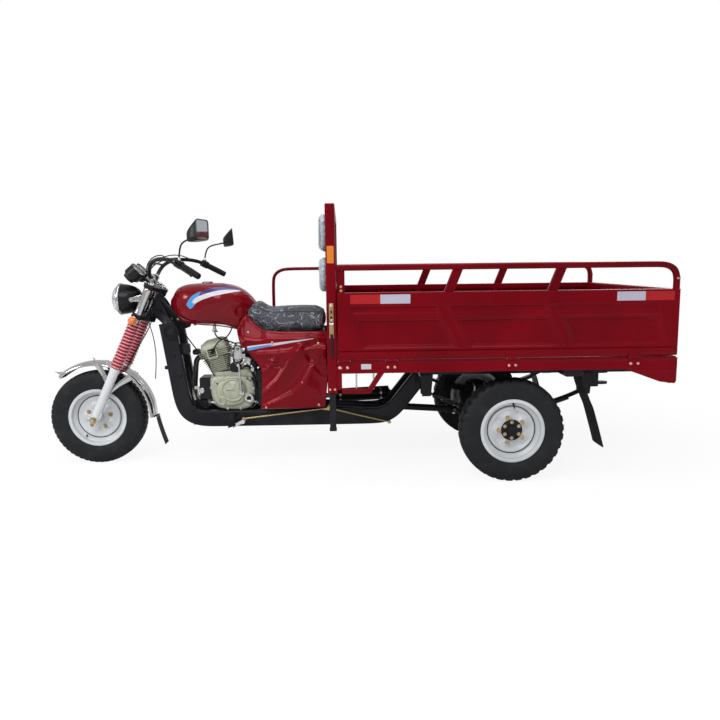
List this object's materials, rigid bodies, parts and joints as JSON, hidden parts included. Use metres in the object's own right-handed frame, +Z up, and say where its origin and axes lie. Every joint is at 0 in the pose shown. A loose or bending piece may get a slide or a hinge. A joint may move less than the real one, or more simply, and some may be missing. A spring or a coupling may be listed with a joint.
{
  "type": "cargo motor tricycle",
  "caption": "Motor tricycle with a raked telescopic fork, open engine, saddle and a drop-sided load bed with guard rails over a sprung rear axle.",
  "frame": {"origin": "on the ground, under the middle of the overall box", "axes": "+X forward, +Y to the rider's left, +Z up"},
  "size_m": [3.42, 1.25, 1.431],
  "materials": {
    "crimson_paint": "glossy",
    "black_paint": "satin",
    "silver_paint": "satin",
    "chrome": "polished",
    "engine_casting": "satin",
    "bright_steel": "satin",
    "brass_plate": "satin",
    "tyre_rubber": "matte",
    "black_rubber": "matte",
    "red_rubber": "matte",
    "black_plastic": "matte",
    "seat_cover": "covered in clear film",
    "lamp_lens": "clear",
    "amber_lens": "glossy",
    "red_lens": "glossy"
  },
  "bodies": {
    "chassis": {"cradle_frame": "black_paint", "cradle_rails": "black_paint", "seat_frame": "black_paint", "crossmembers": "black_paint", "spring_hangers": "black_paint", "rear_ladder": "black_paint", "bed_sill": "crimson_paint", "headboard_latches": "brass_plate", "step_brackets": "crimson_paint", "step_posts": "black_paint", "headboard": "crimson_paint", "backrest": "seat_cover", "armrest": "crimson_paint", "gate_hinges": "crimson_paint", "leaf_springs": "black_paint", "rear_axle": "black_paint", "propshaft": "black_paint", "rear_shocks": "black_paint", "mudflaps": "black_rubber", "tow_hook": "black_paint", "crankcase": "engine_casting", "cylinder": "engine_casting", "cylinder_head": "engine_casting", "carburettor": "bright_steel", "exhaust": "chrome", "kick_lever": "chrome", "fuel_tank": "crimson_paint", "side_covers": "crimson_paint", "seat": "seat_cover", "brake_linkage": "brass_plate"},
    "steering": {"fork_lowers": "silver_paint", "fork_gaiters": "red_rubber", "fork_covers": "chrome", "fork_yokes": "black_paint", "handlebar": "black_paint", "grips": "black_rubber", "bar_controls": "black_plastic", "mirrors": "black_plastic", "headlamp_shell": "black_plastic", "headlamp_lens": "lamp_lens", "instruments": "black_plastic", "front_indicators": "amber_lens", "front_fender": "chrome", "front_axle": "brass_plate"},
    "front_wheel": {"front_tyre": "tyre_rubber", "front_rim": "silver_paint", "front_hub": "silver_paint"},
    "rear_wheel_left": {"left_tyre": "tyre_rubber", "left_rim": "silver_paint", "left_hub": "black_paint"},
    "rear_wheel_right": {"right_tyre": "tyre_rubber", "right_rim": "silver_paint", "right_hub": "black_paint"},
    "side_gate_left": {"left_gate_panel": "crimson_paint", "left_gate_rail": "crimson_paint"},
    "side_gate_right": {"right_gate_panel": "crimson_paint", "right_gate_rail": "crimson_paint"},
    "tail_gate": {"tailgate_panel": "crimson_paint", "tail_lamps": "red_lens"}
  },
  "joints": [
    {"name": "steering_turn", "type": "hinge", "parent": "chassis", "child": "steering", "pos_m": [1.07718, 0, 0.92078], "axis": [-0.4258, 0, 0.9048], "range_deg": [-35, 35]},
    {"name": "front_wheel_roll", "type": "hinge", "parent": "steering", "child": "front_wheel", "pos_m": [1.4375, 0, 0.2725], "axis": [0, 1, 0], "continuous": true},
    {"name": "rear_wheel_left_roll", "type": "hinge", "parent": "chassis", "child": "rear_wheel_left", "pos_m": [-0.8675, 0.49, 0.2725], "axis": [0, 1, 0], "continuous": true},
    {"name": "rear_wheel_right_roll", "type": "hinge", "parent": "chassis", "child": "rear_wheel_right", "pos_m": [-0.8675, -0.49, 0.2725], "axis": [0, 1, 0], "continuous": true},
    {"name": "left_gate_drop", "type": "hinge", "parent": "chassis", "child": "side_gate_left", "pos_m": [-0.8195, 0.62, 0.662], "axis": [-1, 0, 0], "range_deg": [0, 175]},
    {"name": "right_gate_drop", "type": "hinge", "parent": "chassis", "child": "side_gate_right", "pos_m": [-0.8195, -0.62, 0.662], "axis": [1, 0, 0], "range_deg": [0, 175]},
    {"name": "tailgate_drop", "type": "hinge", "parent": "chassis", "child": "tail_gate", "pos_m": [-1.6835, 0, 0.662], "axis": [0, -1, 0], "range_deg": [0, 90]}
  ]
}
